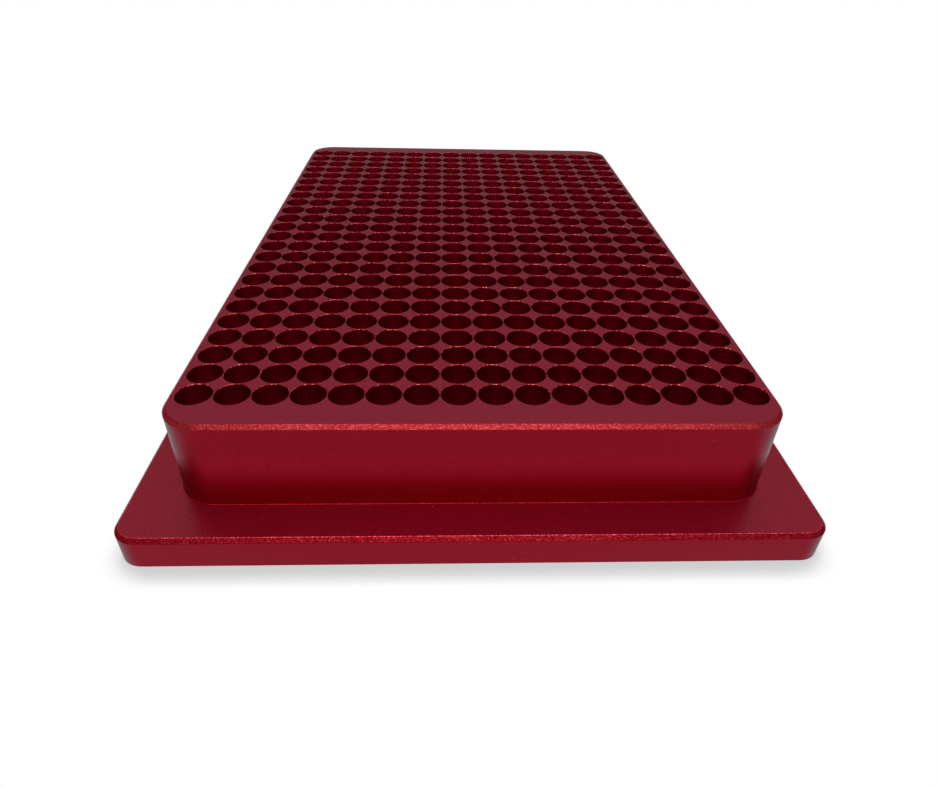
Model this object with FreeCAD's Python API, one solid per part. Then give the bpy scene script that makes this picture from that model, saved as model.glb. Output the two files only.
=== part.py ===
import FreeCAD, Part
import math
import os

# A cold block for 384-well plates: one block of aluminium, machined and then anodised.
# A rounded base plate as large as a plate's footprint carries a smaller raised block,
# and a grid of tapered blind wells is sunk in the block's deck.
# Millimetres, with +X along a row of wells, +Y along a column and +Z up.
# The origin is the middle of the flat underside.

# Well grid
COLUMNS = 16
ROWS = 24
PITCH = 4.5

# One well
WELL_MOUTH = 4.35
WELL_TAPER_DEG = 17.0  # between opposite walls
WELL_SIDES = 12

# Base plate
BASE_WIDTH = 85.48
BASE_LENGTH = 127.76
BASE_HEIGHT = 4.3
BASE_CORNER = 3.18

# Raised block
SHELF = 5.85  # from the base's side to the block's wall, all the way round
DECK_HEIGHT = 16.3  # above the underside
BLOCK_CORNER = 5.0

# Edges
CHAMFER = 0.5
FOOT_RADIUS = 0.15

# Dependent sizes
BLOCK_WIDTH = BASE_WIDTH - 2 * SHELF
BLOCK_LENGTH = BASE_LENGTH - 2 * SHELF
WELL_RADIUS = WELL_MOUTH / 2
WELL_DEPTH = WELL_RADIUS / math.tan(math.radians(WELL_TAPER_DEG / 2))
SIDE_ANGLE = 2 * math.pi / WELL_SIDES
WELL_CORNER = WELL_RADIUS / math.cos(SIDE_ANGLE / 2)  # from the well's axis
NEAR = 1e-6


def lies_at(edge, height):
    """Whether an edge lies flat at a height."""
    box = edge.BoundBox
    return abs(box.ZMin - height) < NEAR and abs(box.ZMax - height) < NEAR


def rounded_block(width, length, height, corner):
    """A block that stands on the origin's plane, with round upright corners and a chamfered top edge."""
    block = Part.makeBox(width, length, height, FreeCAD.Vector(-width / 2, -length / 2, 0))
    uprights = [edge for edge in block.Edges if edge.BoundBox.ZLength > NEAR]
    block = block.makeFillet(corner, uprights)
    rim = [edge for edge in block.Edges if lies_at(edge, height)]
    return block.makeChamfer(CHAMFER, rim)


def stepped_body():
    """The raised block on its base plate, with the cutter's small round where its wall meets the shelf."""
    base = rounded_block(BASE_WIDTH, BASE_LENGTH, BASE_HEIGHT, BASE_CORNER)
    block = rounded_block(BLOCK_WIDTH, BLOCK_LENGTH, DECK_HEIGHT, BLOCK_CORNER)
    body = base.fuse(block).removeSplitter()
    half = BLOCK_WIDTH / 2 + NEAR
    at_shelf = [edge for edge in body.Edges if lies_at(edge, BASE_HEIGHT)]
    foot = [edge for edge in at_shelf if edge.BoundBox.XMax < half and edge.BoundBox.XMin > -half]
    return body.makeFillet(FOOT_RADIUS, foot)


def well():
    """The space of one well at the middle of the grid: a round taper from the deck to its tip, in flat sides.

    The sides touch the round mouth and a side faces each neighbour, so the web between two wells is true.
    """
    tip = FreeCAD.Vector(0, 0, DECK_HEIGHT - WELL_DEPTH)
    turns = [(side + 0.5) * SIDE_ANGLE for side in range(WELL_SIDES)]
    mouth = [FreeCAD.Vector(WELL_CORNER * math.cos(turn), WELL_CORNER * math.sin(turn), DECK_HEIGHT)
             for turn in turns]
    faces = [Part.Face(Part.makePolygon(mouth + mouth[:1]))]
    for start, end in zip(mouth, mouth[1:] + mouth[:1]):
        faces.append(Part.Face(Part.makePolygon([start, end, tip, start])))
    return Part.makeSolid(Part.makeShell(faces))


def well_grid():
    """The space of every well, with the grid centred on the block."""
    first = well()
    wells = []
    for column in range(COLUMNS):
        for row in range(ROWS):
            x = (column - (COLUMNS - 1) / 2) * PITCH
            y = (row - (ROWS - 1) / 2) * PITCH
            wells.append(first.translated(FreeCAD.Vector(x, y, 0)))
    return Part.makeCompound(wells)


os.makedirs("parts", exist_ok=True)
cold_block = stepped_body().cut(well_grid()).Solids[0]
cold_block.exportStep("parts/cold_block.step")
print("cold_block volume", round(cold_block.Volume, 1), "mm3, valid", cold_block.isValid())
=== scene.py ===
import bmesh
import bpy
import math
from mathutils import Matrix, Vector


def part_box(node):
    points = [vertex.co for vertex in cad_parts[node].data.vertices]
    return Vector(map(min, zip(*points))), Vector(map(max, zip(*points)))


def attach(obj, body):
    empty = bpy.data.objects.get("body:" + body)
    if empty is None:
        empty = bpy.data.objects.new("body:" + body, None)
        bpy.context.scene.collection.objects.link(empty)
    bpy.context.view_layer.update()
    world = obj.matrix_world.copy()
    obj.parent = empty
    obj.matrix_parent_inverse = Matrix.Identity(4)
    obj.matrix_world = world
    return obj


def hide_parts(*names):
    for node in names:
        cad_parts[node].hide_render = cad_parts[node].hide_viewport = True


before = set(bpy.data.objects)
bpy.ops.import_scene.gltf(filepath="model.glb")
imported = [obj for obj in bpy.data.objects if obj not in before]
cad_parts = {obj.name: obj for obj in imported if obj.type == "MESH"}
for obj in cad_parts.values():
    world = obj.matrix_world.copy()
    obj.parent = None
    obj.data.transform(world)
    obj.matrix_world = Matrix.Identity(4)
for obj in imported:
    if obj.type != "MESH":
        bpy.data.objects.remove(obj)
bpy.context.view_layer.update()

# The view: a hand-held wide lens close in front of the block's short side, which looks down its length
# and leans a little to the left.
VIEW_PLACE = (-0.00407, -0.11614, 0.06192)
VIEW_TURN_DEG = (54.74, -1.37, -1.86)
VIEW_LENS = 25.02
VIEW_NEAREST = 0.001

camera = bpy.data.objects.new("view", bpy.data.cameras.new("view"))
camera.location = VIEW_PLACE
camera.rotation_euler = [math.radians(turn) for turn in VIEW_TURN_DEG]
camera.data.lens = VIEW_LENS
camera.data.clip_start = VIEW_NEAREST
bpy.context.collection.objects.link(camera)
bpy.context.scene.camera = camera


# The block's outside: one bar of aluminium, milled into a raised block on a wider base plate.
# The cutter leaves a small round at the foot of the raised block. The top edges of both steps are chamfered,
# and the chamfers' own edges are broken by a hair.
MM = 0.001
low_corner, high_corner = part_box("cold_block")
BASE_WIDTH = high_corner[0] - low_corner[0]
BASE_LENGTH = high_corner[1] - low_corner[1]
DECK_HEIGHT = high_corner[2]
BASE_HEIGHT = 4.3 * MM
SHELF = 5.85 * MM
BASE_CORNER = 3.18 * MM
BLOCK_CORNER = 5.0 * MM
CORNER_STEPS = 12
CHAMFER = 0.5 * MM
FOOT_RADIUS = 0.15 * MM
FOOT_STEPS = 4
EDGE_BREAK = 0.045 * MM
EDGE_STEPS = 3
DECK, SHELF_TOP, BLOCK_SIDES, BASE_SIDES, FOOT, DECK_CHAMFER, SHELF_CHAMFER, EDGES, RIMS, BORED = range(10)

mesh = bmesh.new()


def ring(inset, height, corner):
    """The edges of a level ring: a rectangle with round corners, set in from the base's sides."""
    unit_square = bmesh.ops.create_grid(mesh, x_segments=1, y_segments=1, size=0.5)
    plate = unit_square["verts"]
    size = (BASE_WIDTH - 2 * inset, BASE_LENGTH - 2 * inset, 1)
    bmesh.ops.scale(mesh, vec=size, verts=plate)
    bmesh.ops.translate(mesh, vec=(0, 0, height), verts=plate)
    corners = bmesh.ops.bevel(mesh, geom=plate, offset=corner, segments=CORNER_STEPS, profile=0.5,
                              affect="VERTICES", material=-1)["verts"]
    face = corners[0].link_faces[0]
    edges = face.edges[:]
    bmesh.ops.delete(mesh, geom=[face], context="FACES_ONLY")
    return edges


def wall(lower, upper, finish):
    """The faces between two rings."""
    made = bmesh.ops.bridge_loops(mesh, edges=lower + upper)["faces"]
    for face in made:
        face.material_index = finish


underside = ring(0, 0, BASE_CORNER)
base_side_top = ring(0, BASE_HEIGHT - CHAMFER, BASE_CORNER)
shelf_rim = ring(CHAMFER, BASE_HEIGHT, BASE_CORNER - CHAMFER)
wall(underside, base_side_top, BASE_SIDES)
wall(base_side_top, shelf_rim, SHELF_CHAMFER)
below = shelf_rim
for step in range(FOOT_STEPS + 1):
    turn = step / FOOT_STEPS * math.pi / 2
    out = FOOT_RADIUS * (1 - math.sin(turn))
    foot = ring(SHELF - out, BASE_HEIGHT + FOOT_RADIUS * (1 - math.cos(turn)), BLOCK_CORNER + out)
    wall(below, foot, SHELF_TOP if step == 0 else FOOT)
    below = foot
block_side_top = ring(SHELF, DECK_HEIGHT - CHAMFER, BLOCK_CORNER)
deck_rim = ring(SHELF + CHAMFER, DECK_HEIGHT, BLOCK_CORNER - CHAMFER)
wall(below, block_side_top, BLOCK_SIDES)
wall(block_side_top, deck_rim, DECK_CHAMFER)
bmesh.ops.edgeloop_fill(mesh, edges=underside)


# The wells: 16 by 24 tapered seats for the wells of a plate, sunk in the deck with one tapered cutter.
# Their mouths almost touch, and each mouth has a hair of an edge break. They are made as square cells of the
# deck with a well in each, and the margin round the grid is then filled up to the rim.
PITCH = 4.5 * MM
COLUMNS = 16
ROWS = 24
WELL_RADIUS = 2.175 * MM
WELL_TAPER_DEG = 17.0
WELL_STEPS = 24
WELL_DEPTH = WELL_RADIUS / math.tan(math.radians(WELL_TAPER_DEG / 2))
RIM_WIDTH = 0.055 * MM
RIM_DEPTH = 0.055 * MM
HALFWAY = 0.6  # of the depth, where a ring keeps the taper's shading straight
TOUCHING = 1e-7
SHARP_DEG = 26

cells = bmesh.new()
bore = bmesh.ops.create_cone(cells, cap_ends=False, segments=WELL_STEPS, radius1=0,
                             radius2=WELL_RADIUS, depth=WELL_DEPTH - RIM_DEPTH)["verts"]
bmesh.ops.translate(cells, vec=(0, 0, -RIM_DEPTH - (WELL_DEPTH - RIM_DEPTH) / 2), verts=bore)
bmesh.ops.bisect_plane(cells, geom=cells.verts[:] + cells.edges[:] + cells.faces[:],
                       plane_co=(0, 0, -HALFWAY * WELL_DEPTH), plane_no=(0, 0, 1))
for face in cells.faces:
    face.material_index = BORED
mouth = [edge for edge in cells.edges if edge.is_boundary]
lip = bmesh.ops.extrude_edge_only(cells, edges=mouth)["geom"]
lip_verts = [part for part in lip if isinstance(part, bmesh.types.BMVert)]
lip_edges = [part for part in lip if isinstance(part, bmesh.types.BMEdge)]
lip_growth = (WELL_RADIUS + RIM_WIDTH) / WELL_RADIUS
bmesh.ops.scale(cells, vec=(lip_growth, lip_growth, 1), verts=lip_verts)
bmesh.ops.translate(cells, vec=(0, 0, RIM_DEPTH), verts=lip_verts)
for part in lip:
    if isinstance(part, bmesh.types.BMFace):
        part.material_index = RIMS

deck = bmesh.ops.extrude_edge_only(cells, edges=lip_edges)["geom"]
for part in deck:
    if isinstance(part, bmesh.types.BMVert):
        part.co.xy *= PITCH / 2 / max(abs(part.co.x), abs(part.co.y))
    if isinstance(part, bmesh.types.BMFace):
        part.material_index = DECK

for step, count in ((PITCH, 0, 0), COLUMNS), ((0, PITCH, 0), ROWS):
    bmesh.ops.spin(cells, geom=cells.verts[:] + cells.edges[:] + cells.faces[:], cent=(0, 0, 0),
                   axis=(0, 0, 1), dvec=step, angle=0, steps=count - 1, use_duplicate=True)
bmesh.ops.remove_doubles(cells, verts=cells.verts[:], dist=TOUCHING)
bmesh.ops.translate(cells, vec=(-(COLUMNS - 1) / 2 * PITCH, -(ROWS - 1) / 2 * PITCH, DECK_HEIGHT),
                    verts=cells.verts[:])

grid = bpy.data.meshes.new("well_grid")
cells.to_mesh(grid)
cells.free()
mesh.from_mesh(grid)
bpy.data.meshes.remove(grid)
margin = bmesh.ops.triangle_fill(mesh, edges=[edge for edge in mesh.edges if edge.is_boundary],
                                 use_beauty=True, normal=(0, 0, 1))["geom"]
for part in margin:
    if isinstance(part, bmesh.types.BMFace):
        part.material_index = DECK
for edges, finish in ((base_side_top, FOOT), (shelf_rim, EDGES), (block_side_top, DECK_CHAMFER),
                      (deck_rim, DECK_CHAMFER)):
    rounded = bmesh.ops.bevel(mesh, geom=edges, offset=EDGE_BREAK, segments=EDGE_STEPS, profile=0.5,
                              affect="EDGES", material=-1)["faces"]
    for face in rounded:
        face.material_index = finish
bmesh.ops.recalc_face_normals(mesh, faces=mesh.faces[:])

block = bpy.data.objects.new("anodised_block", bpy.data.meshes.new("anodised_block"))
mesh.to_mesh(block.data)
mesh.free()
bpy.context.collection.objects.link(block)
block.data.shade_smooth()
block.data.set_sharp_from_angle(angle=math.radians(SHARP_DEG))
shading = block.modifiers.new("flat faces stay flat", "WEIGHTED_NORMAL")
shading.keep_sharp = True
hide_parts("cold_block")
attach(block, "root")


# The finishes: the whole block is blasted and then dyed deep red in the anodising bath, under a thin clear
# oxide. The level faces have a faint bloom, the sides less, and the chamfers and rims glitter with fine
# bright specks, whose palest tone is also a painted glint. Painted light makes the sides paler than the level
# faces and paler still toward the foot, a painted highlight runs along the top edge of the base's chamfer,
# and the wells have painted shade at the mouth and painted light deeper down. A little pale dust lies on all
# of it.
def node(tree, kind, *ordered, **named):
    """A new node, with inputs set in order or by name to a number, a colour or another node's output."""
    made = tree.nodes.new("ShaderNode" + kind)
    pairs = list(zip(made.inputs, ordered))
    pairs += [(made.inputs[name.replace("_", " ")], value) for name, value in named.items()]
    for socket, value in pairs:
        if isinstance(value, bpy.types.NodeSocket):
            tree.links.new(value, socket)
        else:
            socket.default_value = value
    return made


def empty_tree(owner):
    """The node tree of a material or a world, with nothing in it."""
    owner.use_nodes = True
    owner.node_tree.nodes.clear()
    return owner.node_tree


def between(tree, value, low, high, start=0.0, end=1.0):
    """A number that goes from low to high as a value goes from start to end."""
    return node(tree, "MapRange", value, start, end, low, high).outputs["Result"]


def times(tree, colour, share):
    """A colour made stronger or weaker by a share."""
    product = node(tree, "VectorMath", colour, share)
    product.operation = "MULTIPLY"
    return product.outputs["Vector"]


def anodised(name, tones, dimple, depth, rough, coat, coat_ior=1.6, grazing=(1, 1, 1), spread=0.05,
             painted_light_by_height=None):
    """A blasted and dyed surface, covered in dimples that each have one of its tones.

    Tones run from the darkest dimple to the brightest, at even steps. The brightest dimple is also the
    smoothest, by the spread, so it sparkles where it mirrors the lamp; where its tone is pale, it is also a
    painted glint. Coat is how much the clear oxide shines, and grazing how much the metal shines at a low
    angle.
    The last argument is a height and the share of the tones there, twice: the share changes evenly from the
    first height to the second, as painted light and shade.
    """
    material = bpy.data.materials.new(name)
    tree = empty_tree(material)
    place = node(tree, "TexCoord").outputs["Object"]
    dimples = node(tree, "TexVoronoi", Vector=place, Scale=1 / dimple).outputs
    speck = node(tree, "SeparateColor", dimples["Color"]).outputs["Red"]
    broad = node(tree, "TexNoise", Vector=place, Scale=1 / MOTTLE, Detail=MOTTLE_DETAIL).outputs["Fac"]
    tone = node(tree, "Mix", Factor=MOTTLE_SHARE, A=speck, B=broad).outputs["Result"]
    ramp = node(tree, "ValToRGB", tone)
    stops = ramp.color_ramp.elements
    while len(stops) < len(tones):
        stops.new(0)
    for step, shade in enumerate(tones):
        stops[step].position = step / (len(tones) - 1)
        stops[step].color = (*shade, 1)
    colour = ramp.outputs["Color"]
    # painted light and shade: the tones made paler or darker with height
    if painted_light_by_height:
        lower, lower_share, upper, upper_share = painted_light_by_height
        height = node(tree, "SeparateXYZ", place).outputs["Z"]
        colour = times(tree, colour, between(tree, height, lower_share, upper_share, lower, upper))
    apart = node(tree, "TexVoronoi", Vector=place, Scale=1 / DUST_SPACING).outputs["Distance"]
    dusty = between(tree, apart, 1.0, 0.0, DUST_CORE / DUST_SPACING, DUST_SIZE / DUST_SPACING)
    dusted = node(tree, "VectorMath", colour, times(tree, DUST_SHINE, dusty))
    dusted.operation = "ADD"
    colour = dusted.outputs["Vector"]
    relief = node(tree, "Bump", Height=dimples["Distance"], Strength=1, Distance=depth).outputs["Normal"]
    shader = node(tree, "BsdfPrincipled", Base_Color=colour, Metallic=1,
                  Roughness=between(tree, speck, rough + spread, rough - spread),
                  Specular_Tint=(*grazing, 1), Normal=relief,
                  Coat_Weight=coat, Coat_Roughness=COAT_ROUGHNESS, Coat_IOR=coat_ior)
    node(tree, "OutputMaterial", shader.outputs["BSDF"])
    return material


MOTTLE = 9 * MM
MOTTLE_DETAIL = 3
MOTTLE_SHARE = 0.15
DUST_SPACING = 2.2 * MM
DUST_SIZE = 0.06 * MM
DUST_CORE = 0.036 * MM
DUST_SHINE = (0.20, 0.15, 0.14)
COAT_ROUGHNESS = 0.26
DECK_GRAZING = (0.36, 0.42, 0.42)
SHELF_GRAZING = (0.42, 0.30, 0.35)
SIDE_GRAZING = (0.58, 0.78, 0.83)
EDGE_GRAZING = (0.55, 0.40, 0.45)
RIM_GRAZING = (0.35, 0.10, 0.14)
DECK_TONES = [(0.178, 0.0045, 0.0178), (0.200, 0.0057, 0.0210), (0.222, 0.0072, 0.0242)]
SHELF_TONES = [(0.182, 0.0021, 0.0130), (0.205, 0.0029, 0.0158), (0.232, 0.0043, 0.0188)]
# The sides' tones are a little paler than the level faces': painted light on the sides.
SIDE_TONES = [(0.210, 0.0012, 0.0090), (0.235, 0.0020, 0.0120), (0.260, 0.0032, 0.0150)]
FOOT_TONES = [(0.12, 0.0005, 0.003), (0.17, 0.0011, 0.005), (0.27, 0.0040, 0.010)]
# The palest tone of each chamfer is also a painted glint.
DECK_CHAMFER_TONES_AND_GLINT = [(0.172, 0.0035, 0.0075), (0.182, 0.0065, 0.0105), (0.192, 0.0120, 0.0155),
                      (0.232, 0.0400, 0.0400)]
SHELF_CHAMFER_TONES_AND_GLINT = [(0.080, 0.0006, 0.003), (0.122, 0.0010, 0.005), (0.146, 0.0014, 0.006),
                       (0.182, 0.0030, 0.010), (0.320, 0.0240, 0.030)]
# Paler than the chamfer below it: a painted highlight along the broken top edge of the base's chamfer, and
# its palest tone is also a painted glint.
EDGE_HIGHLIGHT_TONES = [(0.16, 0.0020, 0.008), (0.36, 0.016, 0.026), (0.60, 0.095, 0.085)]
# The palest tone of the rims is also a painted glint.
RIM_TONES_AND_GLINT = [(0.075, 0.0003, 0.002), (0.11, 0.0006, 0.003), (0.15, 0.0010, 0.004), (0.20, 0.0020, 0.007),
             (0.90, 0.250, 0.220)]
# Paler than the rest of the block: painted light deep in the wells, made darker toward the mouth below as
# painted shade.
WELL_TONES = [(0.47, 0.0024, 0.026), (0.51, 0.0027, 0.029), (0.55, 0.0030, 0.032)]
SIDE_PAINTED_LIGHT = (8 * MM, 1.34, 13 * MM, 0.95)  # painted light: paler toward the foot, for the light the shelf throws up onto the lower sides
WELL_PAINTED_SHADE_AND_LIGHT = (DECK_HEIGHT - 2.7 * MM, 0.90, DECK_HEIGHT, 0.26)  # painted shade: darker toward the mouth; with the pale well tones, painted light deeper down

finishes = {
    DECK: anodised("deck", DECK_TONES, dimple=0.13 * MM, depth=0.010 * MM, rough=0.40, coat=0.11,
                   coat_ior=2.0, grazing=DECK_GRAZING),
    SHELF_TOP: anodised("shelf", SHELF_TONES, dimple=0.15 * MM, depth=0.035 * MM, rough=0.48, coat=0.11,
                        coat_ior=2.0, grazing=SHELF_GRAZING),
    # painted light: the sides paler than the level faces, and paler still toward the foot
    BLOCK_SIDES: anodised("block_sides_painted_light", SIDE_TONES, dimple=0.13 * MM, depth=0.010 * MM, rough=0.34,
                          coat=0.06, grazing=SIDE_GRAZING, painted_light_by_height=SIDE_PAINTED_LIGHT),
    BASE_SIDES: anodised("base_sides", SIDE_TONES, dimple=0.13 * MM, depth=0.010 * MM, rough=0.36,
                         coat=0.06, grazing=SIDE_GRAZING),
    FOOT: anodised("foot", FOOT_TONES, dimple=0.13 * MM, depth=0.015 * MM, rough=0.28, coat=0.02,
                   grazing=EDGE_GRAZING),
    DECK_CHAMFER: anodised("deck_chamfer", DECK_CHAMFER_TONES_AND_GLINT, dimple=0.13 * MM, depth=0.013 * MM,
                           rough=0.28, coat=0.03, grazing=EDGE_GRAZING, spread=0.14),
    SHELF_CHAMFER: anodised("shelf_chamfer", SHELF_CHAMFER_TONES_AND_GLINT, dimple=0.12 * MM, depth=0.015 * MM,
                            rough=0.24, coat=0.02, grazing=EDGE_GRAZING, spread=0.12),
    # painted highlight along the top edge of the base's chamfer
    EDGES: anodised("broken_edges_painted_highlight", EDGE_HIGHLIGHT_TONES, dimple=0.12 * MM, depth=0.012 * MM, rough=0.26, coat=0.04,
                    grazing=EDGE_GRAZING, spread=0.10),
    RIMS: anodised("rims", RIM_TONES_AND_GLINT, dimple=0.10 * MM, depth=0.017 * MM, rough=0.25, coat=0.02,
                   grazing=RIM_GRAZING, spread=0.12),
    # painted shade at the mouths of the wells and painted light deeper down
    BORED: anodised("bored_wells_painted_light_and_shade", WELL_TONES, dimple=0.20 * MM, depth=0.004 * MM, rough=0.36, coat=0.06,
                    painted_light_by_height=WELL_PAINTED_SHADE_AND_LIGHT),
}
for finish in sorted(finishes):
    block.data.materials.append(finishes[finish])


# The setting: a white table that runs out of sight under a pale sky, and one large soft lamp above the front.
# The table is plain white but for the shade that gathers round the block, most of it in front.
FLOOR_SIZE = 8.0
FLOOR_COLOUR = (0.8, 0.8, 0.8, 1)
SHADE_REACH = 4.5 * MM
SHADE_DEPTH = 0.38
SHADE_START = 0.4  # the share of open sky at which the shade is full
SHADE_END = 0.85  # and at which it is gone
SHADE_LEAN = (0.0, 0.55, 0.83)  # looks back over the table, so that most of the shade lies in front
WHITE = (1, 1, 1, 1)
SKY_LIGHT = 0.55
LAMP_WIDTH = 0.40
LAMP_LENGTH = 0.40
LAMP_SIDE = 0.02
LAMP_DISTANCE = 0.5
LAMP_HEIGHT_DEG = 63
LAMP_SHINE = 2.9  # as bright as this many white papers

floor_mesh = bmesh.new()
bmesh.ops.create_grid(floor_mesh, x_segments=1, y_segments=1, size=FLOOR_SIZE / 2)
floor = bpy.data.objects.new("floor", bpy.data.meshes.new("floor"))
floor_mesh.to_mesh(floor.data)
floor_mesh.free()
bpy.context.collection.objects.link(floor)


def in_sight(tree):
    """1 for what is seen straight on, in a shine or through glass, 0 for light that only falls on things."""
    ray = node(tree, "LightPath").outputs
    either = node(tree, "Math", ray["Is Camera Ray"], ray["Is Glossy Ray"])
    either.operation = "MAXIMUM"
    seen = node(tree, "Math", either.outputs[0], ray["Is Transmission Ray"])
    seen.operation = "MAXIMUM"
    return seen.outputs[0]


table = bpy.data.materials.new("white_table")
tree = empty_tree(table)
lean = node(tree, "CombineXYZ", *SHADE_LEAN).outputs[0]
open_sky = node(tree, "AmbientOcclusion", Distance=SHADE_REACH, Normal=lean).outputs["AO"]
shade = node(tree, "MapRange", open_sky, SHADE_START, SHADE_END, 1 - SHADE_DEPTH, 1.0)
shade.interpolation_type = "SMOOTHSTEP"
straight_on = node(tree, "LightPath").outputs["Is Camera Ray"]
shown = node(tree, "Emission", WHITE, between(tree, straight_on, 1.0, shade.outputs["Result"])).outputs[0]
matt = node(tree, "BsdfDiffuse", FLOOR_COLOUR).outputs[0]
node(tree, "OutputMaterial", node(tree, "MixShader", in_sight(tree), matt, shown).outputs[0])
floor.data.materials.append(table)

sky = bpy.data.worlds.new("pale_sky")
bpy.context.scene.world = sky
tree = empty_tree(sky)
strength = between(tree, in_sight(tree), SKY_LIGHT, 1.0)
node(tree, "OutputWorld", node(tree, "Background", WHITE, strength).outputs[0])

lamp = bpy.data.objects.new("soft_lamp", bpy.data.lights.new("soft_lamp", "AREA"))
lamp.data.shape = "RECTANGLE"
lamp.data.size = LAMP_WIDTH
lamp.data.size_y = LAMP_LENGTH
lamp.data.energy = LAMP_SHINE * math.pi * LAMP_WIDTH * LAMP_LENGTH
lamp_turn = math.radians(LAMP_HEIGHT_DEG)
lamp.location = (LAMP_SIDE, -LAMP_DISTANCE * math.cos(lamp_turn), LAMP_DISTANCE * math.sin(lamp_turn))
lamp.rotation_euler = (math.pi / 2 - lamp_turn, 0, 0)
bpy.context.collection.objects.link(lamp)

bpy.context.scene.view_settings.view_transform = "Standard"
